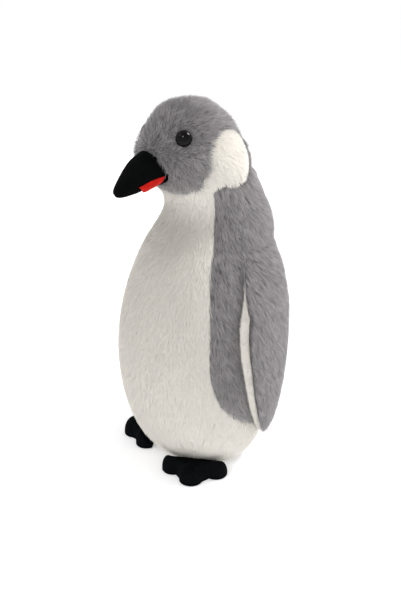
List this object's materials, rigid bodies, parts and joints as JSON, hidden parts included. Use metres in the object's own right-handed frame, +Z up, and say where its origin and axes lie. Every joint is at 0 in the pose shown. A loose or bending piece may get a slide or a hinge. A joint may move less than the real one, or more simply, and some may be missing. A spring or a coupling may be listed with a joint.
{
  "type": "plush penguin",
  "caption": "Standing plush penguin with a sewn, stuffed body, a beak, glossy eyes, hanging flippers that swing out and padded feet that flex.",
  "frame": {"origin": "on the ground, in the middle of the overall box seen from above", "axes": "+Z up; the penguin faces -Y; its left side is +X"},
  "size_m": [0.1326, 0.1145, 0.2446],
  "materials": {
    "grey_fur": "soft grey pile fabric",
    "white_fur": "soft off-white pile fabric",
    "lining": "short off-white plush",
    "beak_black": "black velour",
    "beak_red": "red velour",
    "foot_black": "black velour",
    "eye_black": "glossy black",
    "washer": "matte white",
    "stuffing": "loose polyester filling",
    "pellets": "cloth bag of pellets"
  },
  "bodies": {
    "torso": {"crown_gusset": "grey_fur", "side_panel_left": "grey_fur", "side_panel_right": "grey_fur", "back_panel_left": "grey_fur", "back_panel_right": "grey_fur", "shoulder_panel_left": "grey_fur", "shoulder_panel_right": "grey_fur", "face_panel_left": "grey_fur", "face_panel_right": "grey_fur", "belly_panel": "white_fur", "base_panel": "white_fur", "cheek_patch_left": "white_fur", "cheek_patch_right": "white_fur", "beak_upper": "beak_black", "beak_lower": "beak_black", "beak_stripe_left": "beak_red", "beak_stripe_right": "beak_red", "eye_left": "eye_black", "eye_right": "eye_black", "eye_washer_left": "washer", "eye_washer_right": "washer", "torso_stuffing": "stuffing", "head_stuffing": "stuffing", "beak_stuffing": "stuffing", "pellet_bag": "pellets"},
    "left_flipper": {"flipper_outer_left": "grey_fur", "flipper_batting_left": "stuffing", "flipper_lining_left": "lining"},
    "left_foot": {"foot_upper_left": "foot_black", "foot_pad_left": "stuffing", "foot_sole_left": "foot_black"},
    "right_flipper": {"flipper_outer_right": "grey_fur", "flipper_batting_right": "stuffing", "flipper_lining_right": "lining"},
    "right_foot": {"foot_upper_right": "foot_black", "foot_pad_right": "stuffing", "foot_sole_right": "foot_black"}
  },
  "joints": [
    {"name": "left_flipper_swing", "type": "hinge", "parent": "torso", "child": "left_flipper", "pos_m": [0.04091, 0.02168, 0.1556], "axis": [0.1872, -0.9823, 0], "range_deg": [0, 75]},
    {"name": "right_flipper_swing", "type": "hinge", "parent": "torso", "child": "right_flipper", "pos_m": [-0.04091, 0.02168, 0.1556], "axis": [0.1872, 0.9823, 0], "range_deg": [0, 75]},
    {"name": "left_foot_flex", "type": "hinge", "parent": "torso", "child": "left_foot", "pos_m": [0.0252, -0.01402, 0.001], "axis": [-0.7431, -0.6691, 0], "range_deg": [0, 7]},
    {"name": "right_foot_flex", "type": "hinge", "parent": "torso", "child": "right_foot", "pos_m": [-0.0252, -0.01402, 0.001], "axis": [-0.7431, 0.6691, 0], "range_deg": [0, 7]}
  ]
}
